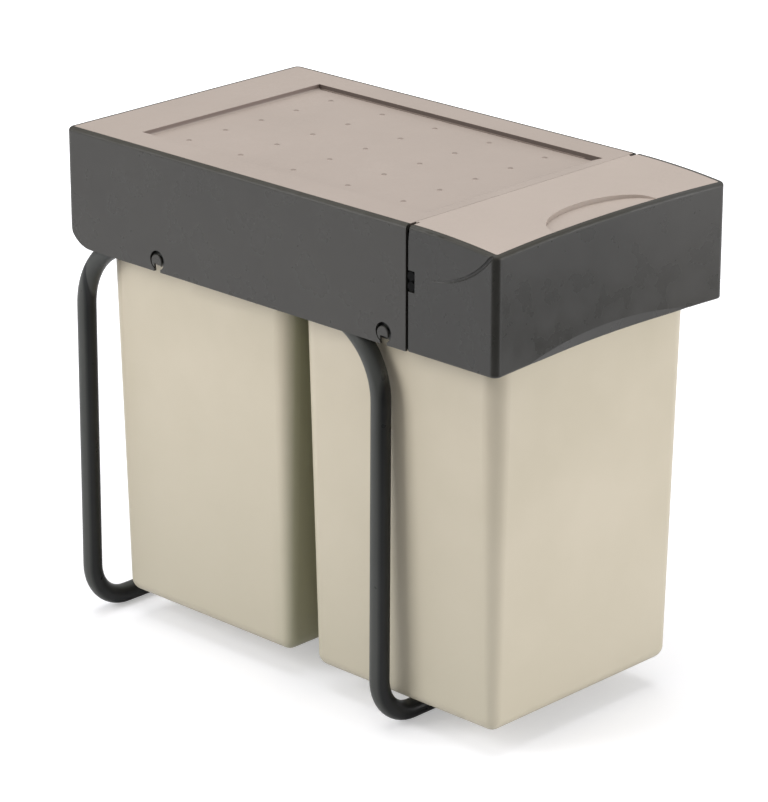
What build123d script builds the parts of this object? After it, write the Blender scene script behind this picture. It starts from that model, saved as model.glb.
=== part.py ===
from build123d import *
import os
from math import atan, cos, degrees, sqrt, tan

os.makedirs("parts", exist_ok=True)

# Pull-out waste unit for a base cabinet. Millimetres, +Z up, the front at -Y.
# The origin is the middle of its floor area, at floor level.

# How far a cutting shape runs past the faces it cuts
past = 1.0

# Overall size
width = 262.0
depth = 468.0
height = 425.0

# Housing and front section, moulded plastic
housing_height = 99.0
front_length = 88.0
slit = 2.8
plate_seam = 0.4
shell_wall = 2.2
corner_radius = 6.0
edge_radius = 3.5
rear_corner_radius = 26.0
least_radius = 1.0
plate_inset = 4.5
plate_thickness = 3.0
plate_fit = 0.2
ledge_width = 12.0
ledge_thickness = 2.0
front_hollow = 6.5
front_drop = 5.5
front_edge_radius = 2.5
lip_height = 9.0
lip_radius = 2.0
grip_half_width = 98.0
grip_height = 10.0
grip_depth = 2.8
scoop_half_width = 58.0
scoop_length = 28.0
scoop_wall = 2.5
scoop_floor = 2.0
crease_radius = 79.6
crease_height = 62.0
crease_setback = 20.0
crease_tube = 1.6
crease_depth = 1.3
crease_fade = 20.0
slit_flare = 1.5
slit_flare_height = 12.0

# Tray in the lid
tray_side_margin = 31.0
tray_rear_margin = 57.0
tray_front_margin = 8.0
tray_ramp = 12.0
tray_depth = 4.5
tray_floor = 2.2
tray_foot_radius = 2.0
tray_rim = 2.5
pip_radius = 2.6
pip_height = 0.9
pip_columns = 5
pip_rows = 5
pip_side_margin = 20.0
pip_rear_margin = 33.0
pip_front_margin = 43.2

# Screws of the two plates
plate_screw_radius = 1.5
plate_screw_bite = 2.0
plate_screw_head_radius = 3.4
plate_screw_head = 1.6
plate_screw_seat = 0.3
plate_screw_play = 0.1
plate_screws_per_side = 4
front_screw_rear_setback = 14.7
front_screw_front_setback = 58.7

# Tube frame
tube_diameter = 16.0
tube_wall = 1.5
tube_gap = 0.4
leg_splay = 2.5
front_leg_setback = 126.0
top_bend_radius = 62.0
foot_bend_radius = 36.0
rail_drop = 89.5
tube_joint_gap = 0.4
spigot_length = 60.0
spigot_fit = 0.05
floor_hole_radius = 2.5
floor_hole_spacing = 120.0

# Studs and their keyhole slots
front_stud_setback = 115.1
rear_stud_setback = 103.9
stud_head_radius = 5.9
stud_head = 1.8
stud_neck_radius = 2.4
stud_sag = 1.3
stud_notch = 3.0
stud_tail_radius = 4.0
stud_tail = 1.2
stud_recess = 0.2
stud_chamfer = 0.5
keyhole_radius = 8.0
keyhole_slot = 7.0
keyhole_lead = 1.3

# Ball runners
runner_length = 360.0
runner_setback = 8.0
runner_height = 35.0
runner_thickness = 11.0
runner_metal = 1.5
runner_float = 0.6
race_gap = 2.4
ball_diameter = 3.0
ball_clearance = 0.05
balls_per_row = 6
cage_length = 170.0
cage_setback = 95.0
cage_thickness = 0.8
cage_edge = 0.8

# Brackets under the runners
bracket_gap = 2.3
bracket_metal = 1.5
runner_lift = 3.5
saddle_length = 30.0
saddle_width = 9.0
saddle_depth = 3.0
saddle_inset = 20.0
bracket_tab_length = 24.0
bracket_tab_edge = 6.5
bracket_setback = 16.0
rivet_radius = 2.0
rivet_head_radius = 3.6
rivet_head = 1.0
rivets_per_side = 4
rivet_margin = 30.0

# Closing catches
catch_length = 20.0
catch_height = 16.0
catch_gap = 0.4
catch_reach = 6.0
catch_peg_radius = 2.0
catch_peg = 1.2
catch_rise = 56.0
catch_inset = 0.5
catch_edge = 1.0
catch_barb_gap = 0.4

# Bin carrier, folded sheet metal
sheet = 1.5
carrier_flange = 26.0
carrier_end_gap = 3.2
window_gap = 0.9
window_corner = 14.0
screw_radius = 2.0
screw_bite = 2.6
screw_head_radius = 3.6
screw_head = 1.0
boss_radius = 5.0
boss_spread = 80.0
carrier_screws_per_side = 4

# Bins
bin_wall = 2.0
bin_front_room = 16.6
bin_rear_room = 23.4
bin_gap = 14.0
bin_floor_gap = 22.6
bin_draft = 1.35
bin_corner = 16.0
bin_foot_radius = 10.5
bin_side_gap = 1.8
rim_thickness = 3.2
rim_gap = 0.7
seat_gap = 0.3

# Planes of the housing
outer_x = width / 2
front_y = -depth / 2
face_slope = 2 * atan(front_hollow / outer_x)
face_y = front_y - corner_radius * (tan(face_slope) + 1 / cos(face_slope) - 1)
rear_y = depth / 2
wall_x = outer_x - shell_wall
panel_z = height - housing_height
seam_y = front_y + front_length
housing_front_y = seam_y + slit
plate_z = height - plate_thickness
ledge_z = plate_z - ledge_thickness
tray_x = outer_x - tray_side_margin
tray_front_y = housing_front_y + tray_front_margin
tray_rear_y = rear_y - tray_rear_margin
tray_z = height - tray_depth

# Lines of the tube frame
tube_radius = tube_diameter / 2
tube_bore = tube_radius - tube_wall
rail_x = wall_x - tube_gap - tube_radius
foot_x = rail_x + leg_splay
front_leg_y = front_y + front_leg_setback
rear_leg_y = rear_y - tube_radius
rail_z = height - rail_drop

# Planes of the runners and of what they carry
bracket_x = wall_x - bracket_gap
runner_x = bracket_x - bracket_metal
carrier_x = runner_x - runner_thickness
runner_low_z = rail_z + tube_radius + runner_lift
runner_top_z = runner_low_z + runner_height
runner_z = (runner_low_z + runner_top_z) / 2
runner_front_y = housing_front_y + runner_setback
runner_rear_y = runner_front_y + runner_length
front_stud_y = front_y + front_stud_setback
rear_stud_y = rear_y - rear_stud_setback
catch_z = panel_z + catch_rise

# Bins and carrier
bin_x = min(rail_x - tube_radius, carrier_x - sheet) - bin_side_gap
bin_y = (depth - bin_front_room - bin_rear_room - bin_gap) / 4
bin_front_y = front_y + bin_front_room + bin_y
bin_rear_y = rear_y - bin_rear_room - bin_y
window_x = bin_x + window_gap
window_y = bin_y + window_gap
deck_top_z = runner_top_z
deck_z = deck_top_z - sheet
rim_z = deck_top_z + seat_gap
carrier_front_y = bin_front_y - window_y - carrier_end_gap - sheet
carrier_rear_y = bin_rear_y + window_y + carrier_end_gap + sheet


def block(x0, x1, y0, y1, z0, z1):
    """A box between two corners."""
    middle = Pos((x0 + x1) / 2, (y0 + y1) / 2, (z0 + z1) / 2)
    return middle * Box(abs(x1 - x0), abs(y1 - y0), abs(z1 - z0))


def rod_x(x0, x1, y, z, radius):
    """A round rod along X."""
    return Pos((x0 + x1) / 2, y, z) * Rot(0, 90, 0) * Cylinder(radius, abs(x1 - x0))


def rod_y(y0, y1, x, z, radius):
    """A round rod along Y."""
    return Pos(x, (y0 + y1) / 2, z) * Rot(90, 0, 0) * Cylinder(radius, abs(y1 - y0))


def rod_z(z0, z1, x, y, radius):
    """A round rod along Z."""
    return Pos(x, y, (z0 + z1) / 2) * Cylinder(radius, abs(z1 - z0))


def group(shapes):
    """Separate solids kept together in one node."""
    return Compound(children=[solid for shape in shapes for solid in shape.solids()])


def save(shape, name):
    export_step(shape, f"parts/{name}.step")


def save_pair(shape, name):
    """The right-hand piece as modelled, and its mirror image on the left."""
    save(shape, name + "_right")
    save(mirror(shape, about=Plane.YZ), name + "_left")


def both_sides(shapes):
    """The right-hand solids and their mirror images."""
    return shapes + [mirror(shape, about=Plane.YZ) for shape in shapes]


def spread(first, last, count):
    """Evenly spaced values from first to last."""
    return [first + (last - first) * i / (count - 1) for i in range(count)]


# ---------------------------------------------------------------- housing

def housing_plan(inset, front):
    """Plan of the housing, set in from its sides and rear."""
    x = outer_x - inset
    y = rear_y - inset
    face = make_face(Polyline((-x, front), (x, front), (x, y), (-x, y), close=True))
    rear_corners = face.vertices().group_by(Axis.Y)[-1]
    return fillet(rear_corners, max(corner_radius - inset, least_radius))


def prism(plan, z0, z1):
    return extrude(Pos(0, 0, z0) * plan, amount=z1 - z0)


def side_profile(z0):
    """Side view of the housing with its rounded lower rear corner."""
    face = make_face(Plane.YZ * Polyline(
        (housing_front_y, z0), (rear_y, z0), (rear_y, height), (housing_front_y, height), close=True))
    corner = face.vertices().group_by(Axis.Z)[0].sort_by(Axis.Y)[-1]
    return extrude(fillet(corner, rear_corner_radius), amount=width, both=True)


def keyhole(y):
    """A round hole open to the lower edge through a slot, in both side walls."""
    z = rail_z
    x = outer_x + past
    hole = rod_x(-x, x, y, z, keyhole_radius)
    slot = block(-x, x, y - keyhole_slot / 2, y + keyhole_slot / 2, panel_z - past, z)
    return [hole, slot]


def plate_screw_places():
    """Screw places along the ledge of the housing, on the right-hand side."""
    x = outer_x - plate_inset - ledge_width / 2
    margin = plate_inset + ledge_width
    return [(x, y) for y in spread(housing_front_y + margin, rear_y - margin, plate_screws_per_side)]


def make_housing_shell():
    body = prism(housing_plan(0, housing_front_y), panel_z, height)
    rim = [e for e in body.edges().group_by(Axis.Z)[-1] if e.center().Y > housing_front_y + past]
    body = fillet(rim, edge_radius)
    body = body & side_profile(panel_z)
    open_y = housing_front_y - past
    body -= prism(housing_plan(shell_wall, open_y), panel_z - past, ledge_z)
    body -= prism(housing_plan(plate_inset + ledge_width, open_y), ledge_z - past, height + past)
    body -= prism(housing_plan(plate_inset, open_y), plate_z, height + past)
    for y in (front_stud_y, rear_stud_y):
        body -= keyhole(y - keyhole_lead)
    for x, y in plate_screw_places():
        for side in (-1, 1):
            body -= rod_z(ledge_z - past, plate_z + past, side * x, y, plate_screw_radius + plate_screw_play)
    peg_y = housing_front_y + catch_length - catch_height / 2
    body -= both_sides([rod_x(wall_x - past, wall_x + catch_peg, peg_y, catch_z, catch_peg_radius)])
    return body


def make_lid_tray():
    """Plate with a shallow tray, a ramp at the tray's front and a grid of pips."""
    plan = housing_plan(plate_inset + plate_fit, housing_front_y)
    body = prism(plan, plate_z, height)
    body += block(-tray_x - tray_rim, tray_x + tray_rim, tray_front_y, tray_rear_y + tray_rim,
                  tray_z - tray_floor, plate_z)
    pocket = make_face(Plane.YZ * Polyline(
        (tray_front_y, height), (tray_front_y + tray_ramp, tray_z), (tray_rear_y, tray_z),
        (tray_rear_y, height + past), (tray_front_y, height + past), close=True))
    rear_foot = pocket.vertices().group_by(Axis.Z)[0].sort_by(Axis.Y)[-1]
    body -= extrude(fillet(rear_foot, tray_foot_radius), amount=tray_x, both=True)
    dome = (pip_radius ** 2 + pip_height ** 2) / (2 * pip_height)
    pip = Pos(0, 0, tray_z + pip_height - dome) * Sphere(dome)
    pip &= rod_z(tray_z - pip_height, tray_z + pip_height, 0, 0, pip_radius + past)
    for x in spread(pip_side_margin - tray_x, tray_x - pip_side_margin, pip_columns):
        for y in spread(tray_rear_y - pip_rear_margin, tray_front_y + pip_front_margin, pip_rows):
            body += Pos(x, y, 0) * pip
    for x, y in plate_screw_places():
        for side in (-1, 1):
            body -= rod_z(plate_z - past, plate_z + plate_screw_bite, side * x, y, plate_screw_radius)
    return body


def plate_screw(x, y, ledge, bite):
    """A screw driven up through a ledge into the plate on it."""
    shank = rod_z(ledge, ledge + ledge_thickness + bite, x, y, plate_screw_radius)
    return shank + rod_z(ledge - plate_screw_head, ledge, x, y, plate_screw_head_radius)


def make_lid_screws():
    return group(both_sides([plate_screw(x, y, ledge_z, plate_screw_bite) for x, y in plate_screw_places()]))


def make_catch():
    """A catch pegged to the housing wall, whose hook stands in the slit."""
    low_z = catch_z - catch_height / 2
    high_z = catch_z + catch_height / 2
    base_x = runner_x + catch_inset
    tongue_x = wall_x - catch_gap
    tip_y = housing_front_y - slit - catch_reach
    half = catch_height / 4 - catch_barb_gap
    body = block(base_x, wall_x, housing_front_y, housing_front_y + catch_length, low_z, high_z)
    body += block(base_x, tongue_x, tip_y, housing_front_y, low_z + catch_edge, high_z - catch_edge)
    for z in (catch_z - catch_height / 4, catch_z + catch_height / 4):
        body += rod_x(tongue_x, outer_x - catch_gap, tip_y + half, z, half)
    peg_y = housing_front_y + catch_length - catch_height / 2
    return body + rod_x(wall_x, wall_x + catch_peg, peg_y, catch_z, catch_peg_radius)


# ---------------------------------------------------------- front section

def front_plan(inset, back_y):
    """Plan of the front section: straight sides, hollow front, round corners."""
    x = outer_x - inset
    y = face_y + inset
    sides = Polyline((x, y), (x, back_y), (-x, back_y), (-x, y))
    face = make_face(sides + ThreePointArc((-x, y), (0, y + front_hollow), (x, y)))
    return fillet(face.vertices().group_by(Axis.Y)[0], max(corner_radius - inset, least_radius))


def top_drop(y):
    """How far the curved top lies below the housing's top at a place."""
    radius = (front_length ** 2 + front_drop ** 2) / (2 * front_drop)
    return radius - sqrt(radius ** 2 - min(0, y - seam_y) ** 2)


def below_top(lower):
    """All that lies under the front section's curved top, lowered by an amount."""
    z = height - lower
    end_y = front_y - past
    end_z = z - top_drop(end_y)
    middle_y = (seam_y + end_y) / 2
    lines = Polyline((end_y, end_z), (end_y, 0), (0, 0), (0, z), (seam_y, z))
    arc = ThreePointArc((seam_y, z), (middle_y, z - top_drop(middle_y)), (end_y, end_z))
    return extrude(make_face(Plane.YZ * (lines + arc)), amount=width, both=True)


def front_screw_places():
    """Screw places on the front section's ledge, on the right-hand side."""
    x = outer_x - plate_inset - ledge_width / 2
    return [(x, seam_y - front_screw_rear_setback), (x, seam_y - front_screw_front_setback)]


def crease():
    """Ring that cuts the curved crease into the right-hand side wall, deepest at the front."""
    rise = panel_z + crease_height + crease_radius
    fade_y = seam_y - crease_fade
    tilt = degrees(atan(crease_depth / (fade_y - front_y)))
    ring = Pos(0, seam_y - crease_setback - fade_y, rise) * Rot(0, 90, 0) * Torus(crease_radius, crease_tube)
    return Pos(outer_x + crease_tube, fade_y, 0) * Rot(0, 0, -tilt) * ring


def flare():
    """Wedge by which the slit widens towards the top, on the right-hand side."""
    face = make_face(Plane.YZ * Polyline(
        (seam_y - slit_flare, height + past), (seam_y + past, height + past),
        (seam_y + past, height - slit_flare_height), (seam_y, height - slit_flare_height), close=True))
    middle_x = outer_x - (plate_inset + ledge_width / 2) / 2
    return Pos(middle_x, 0, 0) * extrude(face, amount=(plate_inset + ledge_width / 2) / 2 + past, both=True)


def grip():
    """Cone that hollows the lower edge of the front wall, deepest in the middle."""
    face_radius = (outer_x ** 2 + front_hollow ** 2) / (2 * front_hollow)
    low_radius = 1 / (2 * grip_depth / grip_half_width ** 2 + 1 / face_radius)
    slope = grip_depth / grip_height
    cone = Cone(low_radius + slope * past, low_radius - slope * (grip_height + past), grip_height + 2 * past)
    return Pos(0, face_y + front_hollow + grip_depth - low_radius, panel_z + grip_height / 2) * cone


def scoop_pan(fit):
    """Tub of the finger scoop, with its wall and floor."""
    edge_y = face_y + plate_inset + plate_fit + front_hollow
    oval = Ellipse(scoop_half_width + scoop_wall + fit, scoop_length + scoop_wall + fit)
    return Pos(0, edge_y, 0) * prism(oval, height - front_drop - scoop_floor - fit, height)


def make_front_shell():
    body = prism(front_plan(0, seam_y), panel_z, height) & below_top(0)
    rim = [e for e in body.edges()
           if e.center().Z > height - front_drop - past and e.center().Y < seam_y - past]
    body = fillet(rim, front_edge_radius)
    low_front = [e for e in body.edges().group_by(Axis.Z)[0]
                 if e.center().Y < seam_y - past and abs(e.center().X) < outer_x - past]
    body = fillet(low_front, lip_radius) - grip()
    lip_back_y = face_y + front_hollow + lip_height
    open_y = seam_y + past
    ledge_low_z = ledge_z - front_drop - past
    cavity = prism(front_plan(shell_wall, open_y), panel_z + lip_height, height)
    body -= cavity & below_top(plate_thickness + ledge_thickness)
    body -= block(-wall_x, wall_x, lip_back_y, open_y, panel_z - past, panel_z + lip_height + past)
    body -= prism(front_plan(plate_inset + ledge_width, open_y), ledge_low_z, height + past)
    pocket = prism(front_plan(plate_inset, open_y), ledge_low_z, height + past)
    body -= pocket - below_top(plate_thickness)
    body -= scoop_pan(plate_fit) & pocket
    notch_y = seam_y - catch_reach - catch_gap
    half = catch_height / 2 + catch_gap
    body -= both_sides([block(wall_x - past, outer_x + past, notch_y, open_y, catch_z - half, catch_z + half)])
    body -= both_sides([crease(), flare()])
    for x in (-boss_spread, boss_spread):
        boss = rod_y(front_y, carrier_front_y, x, runner_z, boss_radius)
        hole = rod_y(carrier_front_y - screw_bite, carrier_front_y + past, x, runner_z, screw_radius)
        inside = prism(front_plan(shell_wall, seam_y), panel_z, height)
        body += boss & inside
        body -= hole
    for x, y in front_screw_places():
        for side in (-1, 1):
            body -= rod_z(ledge_low_z, height, side * x, y, plate_screw_radius + plate_screw_play)
    return body


def make_front_top():
    """Curved plate with a finger scoop in its front edge."""
    plan = front_plan(plate_inset + plate_fit, housing_front_y - plate_seam)
    notch_x = outer_x - plate_inset - ledge_width / 2
    plate = prism(plan, panel_z, height + past)
    body = (plate & below_top(0)) - below_top(plate_thickness)
    for side in (-1, 1):
        body -= block(side * notch_x, side * (outer_x + past), seam_y, housing_front_y, panel_z, height + past)
    body -= both_sides([flare()])
    body += scoop_pan(0) & plate & below_top(plate_thickness / 2)
    edge_y = face_y + plate_inset + plate_fit + front_hollow
    bowl = Pos(0, edge_y, 0) * Ellipse(scoop_half_width, scoop_length)
    body -= prism(bowl, height - front_drop, height + past)
    for x, y in front_screw_places():
        for side in (-1, 1):
            bite_z = plate_z - top_drop(y) + plate_screw_bite
            body -= rod_z(bite_z - plate_thickness - past, bite_z, side * x, y, plate_screw_radius)
    return body


def make_top_screws():
    screws = []
    for x, y in front_screw_places():
        ledge = ledge_z - top_drop(y) - plate_screw_seat
        screws.append(plate_screw(x, y, ledge, plate_screw_bite))
    return group(both_sides(screws))


# ------------------------------------------------------------- tube frame

def make_frame_tube():
    """Right-hand tube: half crossbar, leg, rail, leg and half crossbar."""
    start = (tube_joint_gap / 2, front_leg_y, tube_radius)
    finish = (tube_joint_gap / 2, rear_leg_y, tube_radius)
    path = FilletPolyline(
        start,
        (foot_x, front_leg_y, tube_radius),
        (rail_x, front_leg_y, rail_z),
        (rail_x, rear_leg_y, rail_z),
        (foot_x, rear_leg_y, tube_radius),
        finish,
        radius=[foot_bend_radius, top_bend_radius, top_bend_radius, foot_bend_radius])
    section = Plane(origin=start, z_dir=(1, 0, 0)) * (Circle(tube_radius) - Circle(tube_bore))
    tube = sweep(section, path=path)
    for y in (front_leg_y, rear_leg_y):
        tube -= rod_z(-past, tube_diameter + past, floor_hole_spacing / 2, y, floor_hole_radius)
    tube -= rod_x(rail_x - tube_diameter, rail_x + tube_diameter, rear_stud_y, rail_z, stud_neck_radius)
    return tube


def make_spigot(y):
    half = spigot_length / 2
    return rod_x(-half, half, y, tube_radius, tube_bore - spigot_fit)


def stud_head_at(y):
    """Round head in a keyhole, with a chamfered edge and a notch in line with the keyhole's slot."""
    z = rail_z - stud_sag
    face_x = outer_x - stud_recess
    head = rod_x(face_x - stud_head, face_x, y, z, stud_head_radius)
    head = chamfer(head.edges().sort_by(Axis.X)[-1], stud_chamfer)
    middle_y = y - keyhole_lead
    return head - block(face_x - stud_head - past, face_x + past, middle_y - keyhole_slot / 2,
                        middle_y + keyhole_slot / 2, z - stud_head_radius - past, rail_z - stud_notch)


def make_housing_studs():
    face_x = outer_x - stud_recess - stud_head
    front = stud_head_at(front_stud_y)
    front += rod_x(runner_x - stud_tail, face_x, front_stud_y, rail_z, stud_neck_radius)
    front += rod_x(runner_x - stud_tail, runner_x, front_stud_y, rail_z, stud_tail_radius)
    rear = stud_head_at(rear_stud_y)
    rear += rod_x(rail_x - tube_radius, face_x, rear_stud_y, rail_z, stud_neck_radius)
    return group(both_sides([front, rear]))


# ---------------------------------------------------------------- runners

def channel(outboard, inboard, half, metal, web_outboard):
    """C profile along Y: a web with two flanges, between two distances from the bracket."""
    x0 = runner_x - outboard
    x1 = runner_x - inboard
    low, high = runner_z - half, runner_z + half
    body = block(x1, x0, runner_front_y, runner_rear_y, low, high)
    if web_outboard:
        x1, x0 = x1 - past, x0 - metal
    else:
        x1, x0 = x1 + metal, x0 + past
    return body - block(x1, x0, runner_front_y - past, runner_rear_y + past, low + metal, high - metal)


outer_half = runner_height / 2
mid_half = outer_half - runner_metal - race_gap
inner_half = mid_half - runner_metal - race_gap
mid_start = runner_metal + runner_float
flange_end = runner_thickness - runner_metal - runner_float
inner_start = mid_start + runner_metal + runner_float
ball_x = runner_x - (inner_start + flange_end) / 2
outer_race_z = outer_half - runner_metal - race_gap / 2
inner_race_z = mid_half - runner_metal - race_gap / 2


def races(half):
    """Round grooves in which the balls run, above and below the middle."""
    radius = ball_diameter / 2 + ball_clearance
    return [rod_y(runner_front_y - past, runner_rear_y + past, ball_x, z, radius)
            for z in (runner_z - half, runner_z + half)]


def rivet_places():
    return spread(runner_front_y + rivet_margin, runner_rear_y - rivet_margin, rivets_per_side)


def make_rail_outer():
    body = channel(0, flange_end, outer_half, runner_metal, True) - races(outer_race_z)
    for y in rivet_places():
        body -= rod_x(runner_x - runner_metal - past, runner_x + past, y, runner_z, rivet_radius)
    return body


def make_rail_mid():
    body = channel(mid_start, flange_end, mid_half, runner_metal, True)
    return body - races(outer_race_z) - races(inner_race_z)


def make_rail_inner():
    body = channel(inner_start, runner_thickness, inner_half, runner_metal, False) - races(inner_race_z)
    for y in carrier_screw_places():
        body -= rod_x(carrier_x - past, carrier_x + runner_metal + past, y, runner_z, screw_radius)
    return body


def ball_places():
    start = runner_front_y + cage_setback
    step = cage_length / balls_per_row
    return [start + step * (i + 0.5) for i in range(balls_per_row)]


def make_balls(half):
    balls = [Pos(ball_x, y, z) * Sphere(ball_diameter / 2)
             for y in ball_places() for z in (runner_z - half, runner_z + half)]
    return group(both_sides(balls))


def make_cage(half):
    """Two strips with pockets for the balls, one above and one below the middle."""
    start = runner_front_y + cage_setback
    reach = ball_diameter / 2 + cage_edge
    strips = []
    for z in (runner_z - half, runner_z + half):
        strip = block(ball_x - reach, ball_x + reach, start, start + cage_length,
                      z - cage_thickness / 2, z + cage_thickness / 2)
        for y in ball_places():
            strip -= rod_z(z - past, z + past, ball_x, y, ball_diameter / 2 + ball_clearance)
        strips.append(strip)
    return group(strips)


# --------------------------------------------------------------- brackets

def saddle_places():
    """Ends of the straight part of the rail, where the bracket sits on the tube."""
    first = front_leg_y + top_bend_radius + saddle_inset
    last = rear_leg_y - top_bend_radius - saddle_inset
    return [first, last]


def make_rail_bracket():
    body = block(runner_x, bracket_x, runner_front_y + bracket_setback, runner_rear_y,
                 rail_z + tube_radius, runner_top_z)
    tab_y = front_stud_y - bracket_tab_length / 2
    body += block(runner_x, bracket_x, tab_y, tab_y + bracket_tab_length,
                  rail_z - bracket_tab_edge, runner_low_z + runner_metal)
    for y in saddle_places():
        foot = block(rail_x - saddle_width / 2, bracket_x, y - saddle_length / 2, y + saddle_length / 2,
                     rail_z + tube_radius - saddle_depth, rail_z + tube_radius + runner_metal)
        body += foot - rod_y(y - saddle_length, y + saddle_length, rail_x, rail_z, tube_radius)
    for y in rivet_places():
        body -= rod_x(runner_x - past, bracket_x + past, y, runner_z, rivet_radius)
    return body - rod_x(runner_x - past, bracket_x + past, front_stud_y, rail_z, stud_neck_radius)


def make_rail_rivets():
    rivets = []
    for y in rivet_places():
        shank = rod_x(runner_x - runner_metal, bracket_x, y, runner_z, rivet_radius)
        head = rod_x(bracket_x, bracket_x + rivet_head, y, runner_z, rivet_head_radius)
        rivets.append(shank + chamfer(head.edges().sort_by(Axis.X)[-1], rivet_head / 2))
    return group(both_sides(rivets))


# ---------------------------------------------------------------- carrier

def carrier_screw_places():
    first = runner_front_y + rivet_margin
    last = min(runner_rear_y, carrier_rear_y) - rivet_margin
    return spread(first, last, carrier_screws_per_side)


def window(y):
    """One of the two openings in which a bin hangs."""
    face = fillet(Rectangle(2 * window_x, 2 * window_y).vertices(), window_corner)
    return Pos(0, y, 0) * prism(face, deck_z - past, deck_top_z + past)


def make_bin_carrier():
    low_z = deck_top_z - carrier_flange
    body = block(-carrier_x, carrier_x, carrier_front_y, carrier_rear_y, low_z, deck_top_z)
    inner_x = carrier_x - sheet
    body -= block(-inner_x, inner_x, carrier_front_y + sheet, carrier_rear_y - sheet, low_z - past, deck_z)
    body -= [window(bin_front_y), window(bin_rear_y)]
    for y in carrier_screw_places():
        body -= rod_x(-carrier_x - past, carrier_x + past, y, runner_z, screw_radius)
    for x in (-boss_spread, boss_spread):
        body -= rod_y(carrier_front_y - past, carrier_front_y + sheet + past, x, runner_z, screw_radius)
    return body


def make_carrier_screws():
    screws = []
    for y in carrier_screw_places():
        shank = rod_x(carrier_x - sheet, carrier_x + runner_metal, y, runner_z, screw_radius)
        head = rod_x(carrier_x - sheet - screw_head, carrier_x - sheet, y, runner_z, screw_head_radius)
        screws.append(shank + head)
    return group(both_sides(screws))


def make_front_screws():
    inner_y = carrier_front_y + sheet
    screws = []
    for x in (-boss_spread, boss_spread):
        shank = rod_y(carrier_front_y - screw_bite, inner_y, x, runner_z, screw_radius)
        screws.append(shank + rod_y(inner_y, inner_y + screw_head, x, runner_z, screw_head_radius))
    return group(screws)


# ------------------------------------------------------------------- bins

def bin_plan(inset):
    face = Rectangle(2 * (bin_x - inset), 2 * (bin_y - inset))
    return fillet(face.vertices(), bin_corner - inset)


def make_bin(y):
    """Tapered bin with a straight collar and a turned-out rim that hangs on the deck."""
    taper_z = panel_z - bin_floor_gap
    rim_top_z = rim_z + rim_thickness
    outside = extrude(bin_plan(0), amount=-taper_z, taper=bin_draft)
    outside = fillet(outside.edges().group_by(Axis.Z)[0], bin_foot_radius)
    inside = extrude(bin_plan(bin_wall), amount=-taper_z + bin_wall, taper=bin_draft)
    inside = fillet(inside.edges().group_by(Axis.Z)[0], bin_foot_radius - bin_wall)
    body = Pos(0, 0, panel_z) * outside + prism(bin_plan(0), panel_z, rim_top_z)
    rim = Rectangle(2 * (carrier_x - rim_gap), 2 * (bin_y + carrier_x - rim_gap - bin_x))
    rim = fillet(rim.vertices(), bin_corner + carrier_x - rim_gap - bin_x)
    body += prism(rim, rim_z, rim_top_z)
    body -= Pos(0, 0, panel_z) * inside + prism(bin_plan(bin_wall), panel_z, rim_top_z + past)
    return Pos(0, y, 0) * body


save(make_housing_shell(), "housing_shell")
save(make_lid_tray(), "lid_tray")
save(make_lid_screws(), "lid_screws")
save_pair(make_catch(), "catch")
save(make_front_shell(), "front_shell")
save(make_front_top(), "front_top")
save(make_top_screws(), "top_screws")
save_pair(make_frame_tube(), "frame_tube")
save(make_spigot(front_leg_y), "spigot_front")
save(make_spigot(rear_leg_y), "spigot_rear")
save(make_housing_studs(), "housing_studs")
save_pair(make_rail_bracket(), "rail_bracket")
save(make_rail_rivets(), "rail_rivets")
save_pair(make_rail_outer(), "rail_outer")
save_pair(make_rail_mid(), "rail_mid")
save_pair(make_rail_inner(), "rail_inner")
save_pair(make_cage(outer_race_z), "cage_outer")
save_pair(make_cage(inner_race_z), "cage_inner")
save(make_balls(outer_race_z), "balls_outer")
save(make_balls(inner_race_z), "balls_inner")
save(make_bin_carrier(), "bin_carrier")
save(make_carrier_screws(), "carrier_screws")
save(make_front_screws(), "front_screws")
save(make_bin(bin_front_y), "front_bin")
save(make_bin(bin_rear_y), "rear_bin")
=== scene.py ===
from math import cos, radians, sin

import bmesh
import bpy
from mathutils import Matrix, Vector


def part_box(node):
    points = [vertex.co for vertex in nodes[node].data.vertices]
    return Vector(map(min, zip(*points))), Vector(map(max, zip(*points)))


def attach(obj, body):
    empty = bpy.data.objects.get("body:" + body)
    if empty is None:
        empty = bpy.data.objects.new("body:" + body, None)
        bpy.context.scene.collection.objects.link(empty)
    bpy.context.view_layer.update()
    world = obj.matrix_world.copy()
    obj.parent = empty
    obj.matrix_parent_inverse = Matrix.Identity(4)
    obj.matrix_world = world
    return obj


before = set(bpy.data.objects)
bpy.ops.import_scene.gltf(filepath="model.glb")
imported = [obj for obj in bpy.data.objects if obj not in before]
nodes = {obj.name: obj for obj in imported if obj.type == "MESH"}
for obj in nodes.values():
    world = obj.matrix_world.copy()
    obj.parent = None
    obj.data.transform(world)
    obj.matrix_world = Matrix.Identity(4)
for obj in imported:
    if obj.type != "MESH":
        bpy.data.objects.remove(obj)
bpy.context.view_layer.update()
scene = bpy.context.scene
scene.view_settings.view_transform = "Standard"

# Camera. It stands to the front left of the unit and a little above its lid,
# about three metres away, with a long lens, so that upright edges stay upright.
azimuth, elevation = radians(-45.99), radians(20.27)
distance, shift_left, shift_down = 2.96107, 0.00398, 0.07961
aim = Vector((0, 0, 0.3))
toward_camera = Vector((sin(azimuth) * cos(elevation), -cos(azimuth) * cos(elevation), sin(elevation)))
to_right = Vector((cos(azimuth), sin(azimuth), 0.0))
upward = toward_camera.cross(to_right)
eye = aim + distance * toward_camera - shift_left * to_right - shift_down * upward
camera = bpy.data.objects.new("camera", bpy.data.cameras.new("camera"))
camera.data.lens = 166.93
camera.data.clip_end = 50
camera.matrix_world = Matrix((to_right, upward, toward_camera)).transposed().to_4x4()
camera.matrix_world.translation = eye
scene.collection.objects.link(camera)
scene.camera = camera

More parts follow.
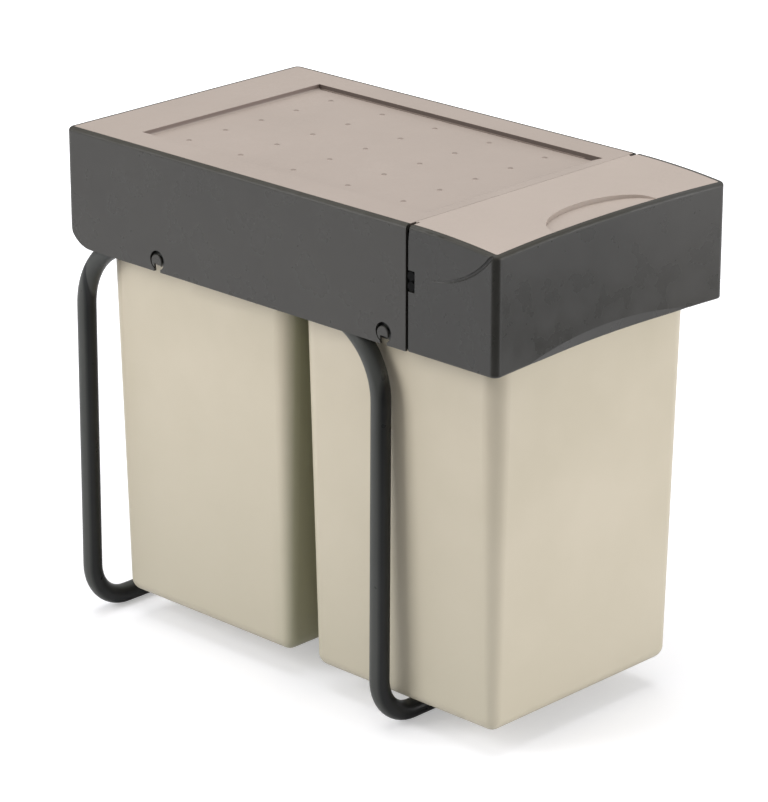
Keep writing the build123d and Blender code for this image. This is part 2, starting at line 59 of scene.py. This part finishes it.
# Floor. A white sweep of paper that keeps a soft grey contact shadow. The camera sees it
# white to the edge of the picture. Gloss and bounced light find it darker in two places,
# where the camera's side of the studio is unlit, and this draws the unit's corners.
floor_half_width = 12
lit_paper, unlit_paper = (0.79, 0.79, 0.815, 1), (0.04, 0.04, 0.04, 1)
front_corner, corner_heading = (-0.13, -0.23, 0), (-0.72, -0.69, 0)
corner_reach, corner_spread = (0.40, 0.60), (0.35, 0.60)
unlit_front_place, unlit_front_radius = (0.70, -0.80, 0), (0.16, 0.34)
glow_radius, glow_strength = (0.6, 2.0), (0.36, 1.0)
floor_mesh = bmesh.new()
bmesh.ops.create_grid(floor_mesh, x_segments=1, y_segments=1, size=floor_half_width)
floor = bpy.data.objects.new("floor", bpy.data.meshes.new("floor"))
floor_mesh.to_mesh(floor.data)
floor_mesh.free()
scene.collection.objects.link(floor)


def remap(tree, value, low, high, out_low=0.0, out_high=1.0):
    """A value spread from the range low to high onto out_low to out_high, and held at the ends."""
    spread = tree.nodes.new("ShaderNodeMapRange")
    spread.inputs["From Min"].default_value = low
    spread.inputs["From Max"].default_value = high
    spread.inputs["To Min"].default_value = out_low
    spread.inputs["To Max"].default_value = out_high
    tree.links.new(value, spread.inputs["Value"])
    return spread.outputs["Result"]


def arithmetic(tree, operation, first, second=0.0):
    """A sum, product or other operation on sockets and fixed numbers."""
    step = tree.nodes.new("ShaderNodeMath")
    step.operation = operation
    for socket, value in zip(step.inputs, (first, second)):
        if isinstance(value, float):
            socket.default_value = value
        else:
            tree.links.new(value, socket)
    return step.outputs[0]


def product(tree, first, second):
    return arithmetic(tree, "MULTIPLY", first, second)


def vector_step(tree, operation, first, second=None):
    """A vector operation on a socket and, where it takes one, a fixed vector."""
    step = tree.nodes.new("ShaderNodeVectorMath")
    step.operation = operation
    tree.links.new(first, step.inputs[0])
    if second:
        step.inputs[1].default_value = second
    return step.outputs[1 if operation in ("LENGTH", "DISTANCE", "DOT_PRODUCT") else 0]


paper = bpy.data.materials.new("white paper")
paper.use_nodes = True
tree = paper.node_tree
tree.nodes.clear()
place = tree.nodes.new("ShaderNodeTexCoord").outputs["Object"]
path = tree.nodes.new("ShaderNodeLightPath")
from_corner = vector_step(tree, "SUBTRACT", place, front_corner)
heading = vector_step(tree, "DOT_PRODUCT", vector_step(tree, "NORMALIZE", from_corner), corner_heading)
away = remap(tree, vector_step(tree, "LENGTH", from_corner), *corner_reach)
unlit_corner = product(tree, remap(tree, heading, *corner_spread), away)
off_front = vector_step(tree, "DISTANCE", place, unlit_front_place)
unlit_front = remap(tree, off_front, *unlit_front_radius, 1.0, 0.0)
unseen = arithmetic(tree, "SUBTRACT", 1.0, path.outputs["Is Camera Ray"])
unlit = product(tree, arithmetic(tree, "MAXIMUM", unlit_corner, unlit_front), unseen)
tint = tree.nodes.new("ShaderNodeMix")
tint.data_type = "RGBA"
tint.inputs[6].default_value = lit_paper
tint.inputs[7].default_value = unlit_paper
tree.links.new(unlit, tint.inputs["Factor"])
face = tree.nodes.new("ShaderNodeBsdfDiffuse")
tree.links.new(tint.outputs[2], face.inputs["Color"])
lift = remap(tree, vector_step(tree, "LENGTH", place), *glow_radius, *glow_strength)
glow = tree.nodes.new("ShaderNodeEmission")
tree.links.new(product(tree, lift, path.outputs["Is Camera Ray"]), glow.inputs["Strength"])
sheet = tree.nodes.new("ShaderNodeAddShader")
tree.links.new(face.outputs[0], sheet.inputs[0])
tree.links.new(glow.outputs[0], sheet.inputs[1])
tree.links.new(sheet.outputs[0], tree.nodes.new("ShaderNodeOutputMaterial").inputs["Surface"])
floor.data.materials.append(paper)

# Studio light. Two large soft boxes, to the left rear and the right front, and a broad one
# overhead, over a low even light from all round, as for a catalogue picture.
air_strength = 0.38
world = bpy.data.worlds.new("studio air")
world.use_nodes = True
air = world.node_tree.nodes["Background"]
air.inputs["Color"].default_value = (1.0, 1.0, 1.0, 1)
air.inputs["Strength"].default_value = air_strength
scene.world = world


def soft_box(name, place, aim, width, height, watts):
    lamp = bpy.data.objects.new(name, bpy.data.lights.new(name, "AREA"))
    lamp.data.shape = "RECTANGLE"
    lamp.data.size, lamp.data.size_y = width, height
    lamp.data.energy = watts
    lamp.location = place
    lamp.rotation_euler = (Vector(aim) - Vector(place)).to_track_quat("-Z", "Y").to_euler()
    scene.collection.objects.link(lamp)


soft_box("left box", (-2.8, 1.5, 1.9), (0, 0, 0.25), 1.8, 2.2, 72)
soft_box("right box", (1.7, -2.9, 0.9), (0, 0, 0.15), 1.8, 1.6, 62)
soft_box("top box", (0.1, 0.3, 3.2), (0, 0, 0.3), 2.8, 2.8, 64)

# Housing and the heads of its studs: injection moulded in anthracite plastic with a fine
# grain, satin, duller at the rim and painted darker and browner there as painted shade.
# The walls of the four keyholes at the housing's lower edge are painted near black as painted shade.
anthracite_deep, anthracite_pale = (0.043, 0.041, 0.036), (0.048, 0.046, 0.040)
rim_painted_shade, keyhole_painted_shade = (0.030, 0.027, 0.019), (0.004, 0.004, 0.003)
rim_z, rim_dullness = (0.4218, 0.4236), 0.35
seam_y, top_curve_diameter = -0.146, 1.4135
keyhole_z = 0.3355
hole_radius, hole_fade = (0.0081, 0.0084), 0.003
slot_half_width, slot_fade = (0.0036, 0.0038), 0.0002


def start_material(name):
    """A node material with its tree, its shader and the place on the piece."""
    material = bpy.data.materials.new(name)
    material.use_nodes = True
    shader = material.node_tree.nodes["Principled BSDF"]
    place = material.node_tree.nodes.new("ShaderNodeTexCoord")
    return material, material.node_tree, shader, place.outputs["Object"]


def axes_of(tree, place):
    """The X, Y and Z of a place, each as a socket."""
    split = tree.nodes.new("ShaderNodeSeparateXYZ")
    tree.links.new(place, split.inputs[0])
    return split.outputs


def apart(tree, value, middle=0.0):
    """How far a value lies from a middle, on either side of it."""
    return arithmetic(tree, "ABSOLUTE", arithmetic(tree, "SUBTRACT", value, middle))


def speckle(tree, place, scale, detail=3.0, rough=0.55):
    noise = tree.nodes.new("ShaderNodeTexNoise")
    noise.inputs["Scale"].default_value = scale
    noise.inputs["Detail"].default_value = detail
    noise.inputs["Roughness"].default_value = rough
    tree.links.new(place, noise.inputs["Vector"])
    return noise.outputs["Fac"]


def blend_colours(tree, share, first, second):
    mix = tree.nodes.new("ShaderNodeMix")
    mix.data_type = "RGBA"
    tree.links.new(share, mix.inputs["Factor"])
    for socket, colour in ((mix.inputs[6], first), (mix.inputs[7], second)):
        if isinstance(colour, tuple):
            socket.default_value = (*colour, 1)
        else:
            tree.links.new(colour, socket)
    return mix.outputs[2]


def bumps(tree, shader, height, depth):
    bump = tree.nodes.new("ShaderNodeBump")
    bump.inputs["Strength"].default_value = 1.0
    bump.inputs["Distance"].default_value = depth
    tree.links.new(height, bump.inputs["Height"])
    tree.links.new(bump.outputs["Normal"], shader.inputs["Normal"])


def moulded_plastic(name, deep, pale, rough, grain_depth, grain=2600.0):
    """Moulded plastic: two close tones in soft clouds, a fine grain and uneven gloss."""
    material, tree, shader, place = start_material(name)
    clouds = remap(tree, speckle(tree, place, 9.0), 0.35, 0.65)
    tone = blend_colours(tree, clouds, deep, pale)
    tree.links.new(tone, shader.inputs["Base Color"])
    gloss = remap(tree, speckle(tree, place, 40.0), 0.3, 0.7, rough - 0.05, rough + 0.05)
    tree.links.new(gloss, shader.inputs["Roughness"])
    bumps(tree, shader, speckle(tree, place, grain, 2.0), grain_depth)
    return material, tree, shader, place, tone


def dress(material, *names):
    for name in names:
        for seat in nodes[name].material_slots:
            seat.material = material


def anthracite_plastic(name, deep, pale):
    """The moulded plastic with a duller rim painted darker as painted shade, which follows the front
    section's curved top.
    """
    material, tree, shader, place, tone = moulded_plastic(name, deep, pale, 0.29, 0.000002, 1500.0)
    axes = axes_of(tree, place)
    ahead = arithmetic(tree, "MINIMUM", arithmetic(tree, "SUBTRACT", axes["Y"], seam_y), 0.0)
    drop = arithmetic(tree, "DIVIDE", product(tree, ahead, ahead), top_curve_diameter)
    rim = remap(tree, arithmetic(tree, "ADD", axes["Z"], drop), *rim_z)
    rim_shade = product(tree, rim, remap(tree, speckle(tree, place, 60.0), 0.25, 0.55, 0.7, 1.0))
    # The rim is painted darker and browner as painted shade under the lid's edge.
    skin = blend_colours(tree, rim_shade, tone, rim_painted_shade)
    tree.links.new(skin, shader.inputs["Base Color"])
    gloss = shader.inputs["Roughness"].links[0].from_socket
    duller = arithmetic(tree, "ADD", gloss, product(tree, rim_shade, rim_dullness))
    tree.links.new(duller, shader.inputs["Roughness"])
    return material, tree, shader, axes, skin


def reach_from(tree, first, first_middle, second, second_middle):
    """Distance from a point in the plane of two axes."""
    across = arithmetic(tree, "SUBTRACT", first, first_middle)
    along = arithmetic(tree, "SUBTRACT", second, second_middle)
    squares = arithmetic(tree, "ADD", product(tree, across, across), product(tree, along, along))
    return arithmetic(tree, "SQRT", squares)


housing, tree, shader, axes, skin = anthracite_plastic("housing plastic", anthracite_deep, anthracite_pale)
# The keyholes' walls on their front side and down the slot are painted near black as painted shade.
for keyhole_y in (-0.1202, 0.1288):
    from_middle = reach_from(tree, axes["Y"], keyhole_y, axes["Z"], keyhole_z)
    hole = product(tree, remap(tree, from_middle, *hole_radius, 1.0, 0.0),
                   remap(tree, axes["Y"], keyhole_y + hole_fade, keyhole_y))
    slot = product(tree, remap(tree, apart(tree, axes["Y"], keyhole_y), *slot_half_width, 1.0, 0.0),
                   remap(tree, axes["Z"], keyhole_z + slot_fade, keyhole_z))
    skin = blend_colours(tree, arithmetic(tree, "MAXIMUM", hole, slot), skin, keyhole_painted_shade)
tree.links.new(skin, shader.inputs["Base Color"])
dress(housing, "housing_shell")
dress(anthracite_plastic("stud plastic", anthracite_deep, anthracite_pale)[0], "housing_studs")

# Front section: the same plastic, a little deeper in tone as painted shade, and painted lighter
# towards its right-hand end as painted light. The crease in each side is painted with a dark line of
# painted shade.
front_deep, front_pale, front_painted_light = (0.034, 0.033, 0.029), (0.037, 0.036, 0.032), (0.047, 0.045, 0.040)
crease_painted_shade = (0.018, 0.017, 0.014)
crease_middle_y, crease_middle_z, crease_radius = -0.166, 0.4676, 0.0796
crease_half_width, crease_share, crease_fade_y = (0.0006, 0.0024), 0.75, (-0.170, -0.205)
painted_light_x, side_skin_x = (-0.01, 0.08), (0.1285, 0.1290)
front, tree, shader, axes, skin = anthracite_plastic("front section plastic", front_deep, front_pale)
# The right-hand end is painted lighter as painted light.
skin = blend_colours(tree, remap(tree, axes["X"], *painted_light_x), skin, front_painted_light)
# The crease is painted with a dark line of painted shade, fading towards the rear.
from_middle = reach_from(tree, axes["Y"], crease_middle_y, axes["Z"], crease_middle_z)
on_line = remap(tree, apart(tree, from_middle, crease_radius), *crease_half_width, crease_share, 0.0)
toward_front = remap(tree, axes["Y"], *crease_fade_y)
on_side = remap(tree, apart(tree, axes["X"]), *side_skin_x)
crease_shade = product(tree, product(tree, on_line, toward_front), on_side)
tree.links.new(blend_colours(tree, crease_shade, skin, crease_painted_shade), shader.inputs["Base Color"])
dress(front, "front_shell")

# Slit strips: thin black strips set inside the housing's side walls, above and below each catch.
# They close the view into the slit in front of them, as a dark sheet standing in for its shade.
shade_strip_deep, shade_strip_pale = (0.008, 0.008, 0.007), (0.012, 0.012, 0.010)
strip_low, strip_high = 0.3265, 0.4180
strip_thickness, strip_length = 0.0012, 0.0150
strip_x, strip_y = 0.1279, -0.1425
strip_gap, strip_bevel = 0.0003, 0.0003
catch_low, catch_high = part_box("catch_left")[0].z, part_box("catch_left")[1].z
strips = bmesh.new()
for side in (-1, 1):
    for low, high in ((strip_low, catch_low - strip_gap), (catch_high + strip_gap, strip_high)):
        strip = bmesh.ops.create_cube(strips, size=1)["verts"]
        bmesh.ops.scale(strips, verts=strip, vec=(strip_thickness, strip_length, high - low))
        bmesh.ops.translate(strips, verts=strip, vec=(side * strip_x, strip_y, (low + high) / 2))
bmesh.ops.bevel(strips, geom=strips.edges[:], offset=strip_bevel, offset_type="OFFSET", segments=2,
                profile=0.5, affect="EDGES", material=-1)
slit_shade_strips = bpy.data.objects.new("slit_shade_strips", bpy.data.meshes.new("slit_shade_strips"))
strips.to_mesh(slit_shade_strips.data)
strips.free()
scene.collection.objects.link(slit_shade_strips)
slit_shade_black, _, shader, _, _ = moulded_plastic(
    "slit shade black", shade_strip_deep, shade_strip_pale, 0.60, 0.00002)
shader.inputs["Specular IOR Level"].default_value = 0.15
slit_shade_strips.data.materials.append(slit_shade_black)
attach(slit_shade_strips, "stand")

# Lid plates: moulded in taupe plastic, dry and matt, with a slightly mottled skin. The walls of the tray's
# recess are painted dark as painted shade, the side walls darker than the rear one, and its pips are
# painted darker as painted shade.
taupe_deep, taupe_pale, taupe_fleck = (0.380, 0.320, 0.280), (0.415, 0.350, 0.308), (0.397, 0.334, 0.292)
# The front plate's taupe is a lighter copy of the tray's, as painted light for the sheen on its curved
# top.
front_taupe_deep, front_taupe_pale = (0.425, 0.360, 0.315), (0.455, 0.385, 0.338)
front_taupe_fleck = (0.440, 0.372, 0.326)
rear_wall_shade, side_wall_shade, pip_shade = (0.22, 0.17, 0.15), (0.08, 0.058, 0.048), (0.25, 0.20, 0.17)
recess_rim_z, side_wall_x, rear_wall_y = (0.4246, 0.4249), (0.0997, 0.0999), (0.1766, 0.1769)
pip_z, pip_field_y = (0.4206, 0.4209, 0.4214, 0.4216), (-0.118, -0.115, 0.1745, 0.1750)


def lid_plastic(name, deep, pale, fleck):
    material, tree, shader, place, tone = moulded_plastic(name, deep, pale, 0.50, 0.00004, 1800.0)
    mottle = remap(tree, speckle(tree, place, 420.0, 4.0), 0.42, 0.6)
    skin = blend_colours(tree, mottle, tone, fleck)
    tree.links.new(skin, shader.inputs["Base Color"])
    return material, tree, shader, place, skin


def band(tree, value, start, full, fading, end):
    """1 from full to fading, and 0 before start and past end."""
    return product(tree, remap(tree, value, start, full), remap(tree, value, fading, end, 1.0, 0.0))


taupe, tree, shader, place, skin = lid_plastic("taupe plastic", taupe_deep, taupe_pale, taupe_fleck)
axes = axes_of(tree, place)
below_rim = remap(tree, axes["Z"], *recess_rim_z, 1.0, 0.0)
at_side_walls = product(tree, remap(tree, apart(tree, axes["X"]), *side_wall_x), below_rim)
at_rear_wall = product(tree, remap(tree, axes["Y"], *rear_wall_y), below_rim)
# The recess walls and the pips are painted darker as painted shade.
skin = blend_colours(tree, at_rear_wall, skin, rear_wall_shade)
skin = blend_colours(tree, at_side_walls, skin, side_wall_shade)
on_pips = product(tree, band(tree, axes["Z"], *pip_z), band(tree, axes["Y"], *pip_field_y))
skin = blend_colours(tree, on_pips, skin, pip_shade)
tree.links.new(skin, shader.inputs["Base Color"])
dress(taupe, "lid_tray")
# The front top takes the lighter taupe, as painted light.
front_taupe = lid_plastic("front taupe plastic", front_taupe_deep, front_taupe_pale, front_taupe_fleck)[0]
dress(front_taupe, "front_top")

# Bins: moulded in beige plastic with smooth satin walls. They are painted a little darker low on
# their sides, and darker and greener where the two face each other, both as painted shade.
beige_deep, beige_pale = (0.62, 0.555, 0.425), (0.66, 0.59, 0.46)
low_shade_beige, gap_shade_beige = (0.53, 0.485, 0.375), (0.39, 0.375, 0.26)
low_shade_z, low_shade_y = (0.26, 0.03), (-0.216, -0.205)
gap_shade_y, gap_shade_x = (0.030, 0.012), (0.1075, 0.0990)
beige, tree, shader, place, tone = moulded_plastic(
    "beige plastic", beige_deep, beige_pale, 0.40, 0.00002, 1400.0)
axes = axes_of(tree, place)
low_shade = product(tree, remap(tree, axes["Z"], *low_shade_z), remap(tree, axes["Y"], *low_shade_y))
gap_shade = product(tree, remap(tree, apart(tree, axes["Y"]), *gap_shade_y),
                 remap(tree, apart(tree, axes["X"]), *gap_shade_x))
# Painted shade, low on the sides and in the gap between the bins.
skin = blend_colours(tree, low_shade, tone, low_shade_beige)
tree.links.new(blend_colours(tree, gap_shade, skin, gap_shade_beige), shader.inputs["Base Color"])
dress(beige, "front_bin", "rear_bin")

# Stand, brackets and bin carrier: steel with a dark powder coat. It has a fine
# orange-peel skin, and the front side of each leg is painted darker as painted shade.
coat_deep, coat_pale, coat_shade = (0.058, 0.061, 0.057), (0.066, 0.068, 0.063), (0.014, 0.015, 0.015)
powder, tree, shader, place, tone = moulded_plastic(
    "dark powder coat", coat_deep, coat_pale, 0.32, 0.000006, 900.0)
shader.inputs["Specular IOR Level"].default_value = 0.3
axes = axes_of(tree, place)
leg_half_width, shade_start, shade_full = (0.0085, 0.0095), 0.0034, 0.0062
leg_sides = []
for leg_y in (-0.108, 0.226):
    on_leg = remap(tree, apart(tree, axes["Y"], leg_y), *leg_half_width, 1.0, 0.0)
    in_front = remap(tree, axes["Y"], leg_y - shade_start, leg_y - shade_full)
    leg_sides.append(product(tree, on_leg, in_front))
shaded = arithmetic(tree, "MAXIMUM", *leg_sides)
tree.links.new(blend_colours(tree, shaded, tone, coat_shade), shader.inputs["Base Color"])
dress(powder, "frame_tube_left", "frame_tube_right", "rail_bracket_left", "rail_bracket_right",
      "bin_carrier")

# Catches and ball cages: small mouldings in black plastic, dull
# and grease-dark, as they are injected and never painted.
black, _, shader, _, _ = moulded_plastic(
    "black plastic", (0.005, 0.005, 0.005), (0.008, 0.008, 0.008), 0.65, 0.00001)
shader.inputs["Specular IOR Level"].default_value = 0.08
dress(black, "catch_left", "catch_right", "cage_outer_left", "cage_outer_right",
      "cage_inner_left", "cage_inner_right")

# Runners, pins, screws and rivets: zinc plated steel, rolled lengthways,
# with fine draw lines along it and patches of duller plating.
dull_zinc, bright_zinc = (0.50, 0.51, 0.53), (0.62, 0.63, 0.64)
zinc, tree, shader, place = start_material("zinc plate")
lines = tree.nodes.new("ShaderNodeMapping")
lines.inputs["Scale"].default_value = (900, 12, 900)
tree.links.new(place, lines.inputs["Vector"])
drawn = speckle(tree, lines.outputs["Vector"], 1.0, 2.0)
patches = remap(tree, speckle(tree, place, 55.0), 0.35, 0.65)
tree.links.new(blend_colours(tree, patches, dull_zinc, bright_zinc), shader.inputs["Base Color"])
shader.inputs["Metallic"].default_value = 1.0
tree.links.new(remap(tree, drawn, 0.3, 0.7, 0.24, 0.40), shader.inputs["Roughness"])
bumps(tree, shader, drawn, 0.00002)
dress(zinc, "rail_outer_left", "rail_outer_right", "rail_mid_left", "rail_mid_right", "rail_inner_left",
      "rail_inner_right", "spigot_front", "spigot_rear", "lid_screws", "top_screws", "carrier_screws",
      "front_screws", "rail_rivets")

# Balls of the runners: hardened bearing steel, ground and polished,
# with a faint cloud of grease.
clouded_steel, clear_steel = (0.70, 0.70, 0.71), (0.78, 0.78, 0.79)
steel, tree, shader, place = start_material("bearing steel")
tree.links.new(blend_colours(tree, speckle(tree, place, 300.0), clouded_steel, clear_steel),
               shader.inputs["Base Color"])
shader.inputs["Metallic"].default_value = 1.0
tree.links.new(remap(tree, speckle(tree, place, 900.0), 0.3, 0.7, 0.08, 0.16), shader.inputs["Roughness"])
dress(steel, "balls_outer", "balls_inner")
